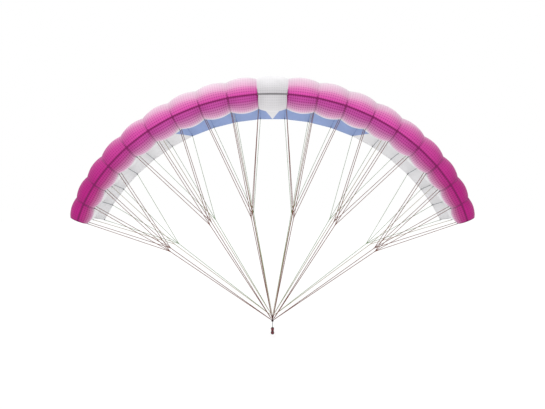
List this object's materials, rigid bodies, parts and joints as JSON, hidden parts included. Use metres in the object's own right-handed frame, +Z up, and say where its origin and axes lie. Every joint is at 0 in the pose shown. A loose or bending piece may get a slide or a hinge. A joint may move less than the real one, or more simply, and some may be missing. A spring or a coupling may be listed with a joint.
{
  "type": "parawing with control bar",
  "caption": "Arched cloth wing with an inflated double-skin nose and a single-skin tail, held in the air on cascaded lines from a short hand-held control bar.",
  "frame": {"origin": "middle of the bar, on its axis, where the hand holds it", "axes": "+X along the span to the right as seen from the front, -Y towards the wind, out of the leading edge, +Z up"},
  "size_m": [3.7718, 1.1121, 2.34],
  "materials": {
    "white_cloth": "coated ripstop",
    "printed_cloth": "coated ripstop, printed",
    "blue_cloth": "coated ripstop",
    "rib_cloth": "coated ripstop",
    "front_line": "braided line",
    "rear_line": "braided line",
    "leader_cord": "braided cord",
    "grip_foam": "matte foam",
    "cap_plastic": "moulded"
  },
  "bodies": {
    "root": {"upper_panel_mid": "white_cloth", "lower_skin_mid": "white_cloth", "upper_panel_left_1": "printed_cloth", "upper_panel_left_2": "printed_cloth", "upper_panel_left_3": "printed_cloth", "upper_panel_left_4": "printed_cloth", "upper_panel_left_5": "printed_cloth", "upper_panel_left_6": "printed_cloth", "upper_panel_left_7": "printed_cloth", "upper_panel_left_8": "printed_cloth", "upper_panel_left_9": "printed_cloth", "rib_left_1": "rib_cloth", "rib_left_2": "rib_cloth", "rib_left_3": "rib_cloth", "rib_left_4": "rib_cloth", "rib_left_5": "rib_cloth", "rib_left_6": "rib_cloth", "rib_left_7": "rib_cloth", "rib_left_8": "rib_cloth", "rib_left_9": "rib_cloth", "rib_left_10": "rib_cloth", "lower_skin_left": "printed_cloth", "front_lines_left_inner": "front_line", "front_lines_left_middle": "front_line", "front_lines_left_outer": "front_line", "rear_lines_left_inner": "rear_line", "rear_lines_left_middle": "rear_line", "rear_lines_left_outer": "rear_line", "upper_panel_right_1": "printed_cloth", "upper_panel_right_2": "printed_cloth", "upper_panel_right_3": "printed_cloth", "upper_panel_right_4": "printed_cloth", "upper_panel_right_5": "printed_cloth", "upper_panel_right_6": "printed_cloth", "upper_panel_right_7": "printed_cloth", "upper_panel_right_8": "printed_cloth", "upper_panel_right_9": "printed_cloth", "rib_right_1": "rib_cloth", "rib_right_2": "rib_cloth", "rib_right_3": "rib_cloth", "rib_right_4": "rib_cloth", "rib_right_5": "rib_cloth", "rib_right_6": "rib_cloth", "rib_right_7": "rib_cloth", "rib_right_8": "rib_cloth", "rib_right_9": "rib_cloth", "rib_right_10": "rib_cloth", "lower_skin_right": "printed_cloth", "front_lines_right_inner": "front_line", "front_lines_right_middle": "front_line", "front_lines_right_outer": "front_line", "rear_lines_right_inner": "rear_line", "rear_lines_right_middle": "rear_line", "rear_lines_right_outer": "rear_line", "front_leader": "leader_cord", "rear_leader": "leader_cord", "bar_grip": "grip_foam", "bar_front_cap": "cap_plastic", "bar_rear_cap": "cap_plastic"}
  },
  "joints": []
}
